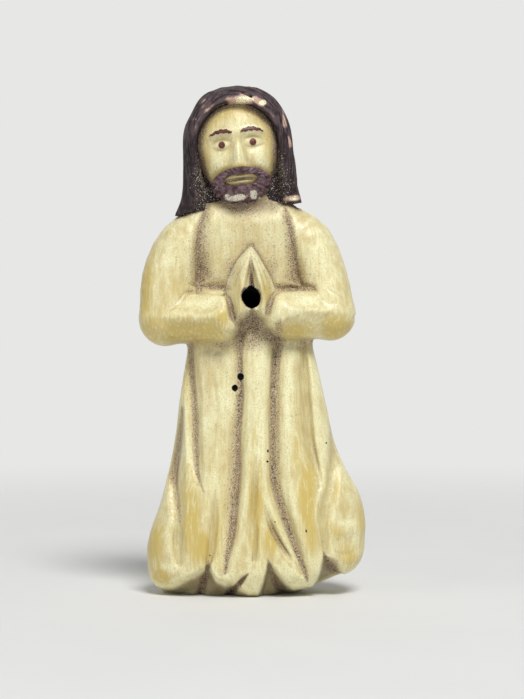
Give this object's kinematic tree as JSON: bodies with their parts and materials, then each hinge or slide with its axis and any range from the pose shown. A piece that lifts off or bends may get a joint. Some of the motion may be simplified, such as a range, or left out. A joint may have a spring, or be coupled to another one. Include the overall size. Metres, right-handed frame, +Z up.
{
  "type": "carved bone praying figure",
  "caption": "Small carved bone figure of a bearded praying person in a long robe, with a hole drilled between the pressed hands.",
  "frame": {"origin": "middle of the bounding box's bottom face, on the plane the figure stands on", "axes": "+Z up from the base to the crown, the figure faces -Y, +X to the figure's left"},
  "size_m": [0.0288, 0.014, 0.0641],
  "materials": {
    "bone": "polished old bone, cream with amber stains and dark grime in the cuts",
    "hair_paint": "worn matte dark brown paint on bone",
    "beard_paint": "worn satin purple brown paint on bone",
    "brow_paint": "thin reddish brown paint"
  },
  "bodies": {
    "root": {"robe_skirt": "bone", "torso": "bone", "right_sleeve": "bone", "left_sleeve": "bone", "right_hand": "bone", "left_hand": "bone", "head": "bone", "hair": "hair_paint", "beard": "beard_paint", "right_brow": "brow_paint", "left_brow": "brow_paint", "right_pupil": "brow_paint", "left_pupil": "brow_paint"}
  },
  "joints": []
}
